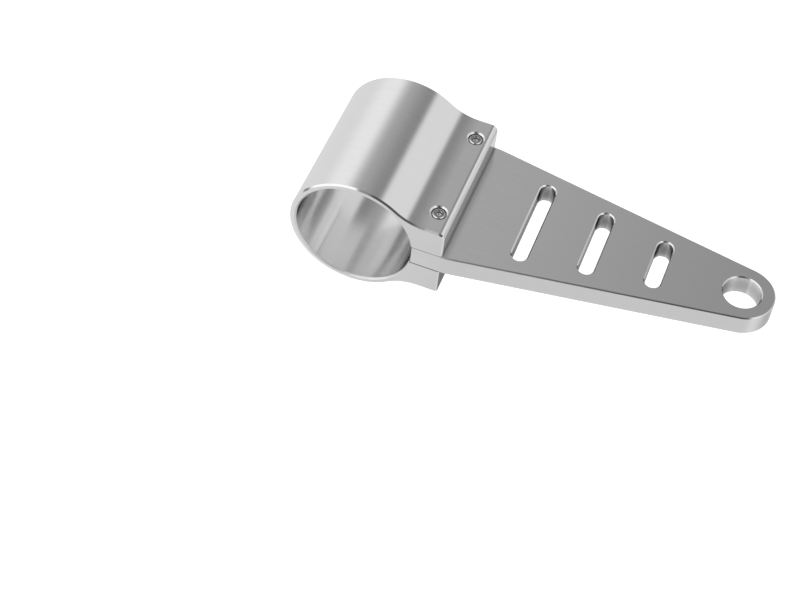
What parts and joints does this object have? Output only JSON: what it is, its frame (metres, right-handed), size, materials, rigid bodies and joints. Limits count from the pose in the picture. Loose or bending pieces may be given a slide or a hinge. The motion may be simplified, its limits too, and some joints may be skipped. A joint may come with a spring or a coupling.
{
  "type": "headlight mounting bracket",
  "caption": "Machined aluminium bracket that clamps round a fork leg and holds the side of a headlight at the eye of a tapered, slotted arm.",
  "frame": {"origin": "on the axis of the fork bore, halfway along the sleeve", "axes": "+Z along the fork bore, +X along the arm from the fork to the headlight, +Y out of the face that the clamp screws go in from"},
  "size_m": [0.1612, 0.0456, 0.0544],
  "materials": {
    "sleeve": "turned and polished, with fine rings round the sleeve",
    "arm": "milled and polished, with fine brushing",
    "screws": "bright stainless steel"
  },
  "bodies": {
    "root": {"clamp_sleeve": "sleeve", "arm_plate": "arm", "clamp_screws": "screws"}
  },
  "joints": []
}
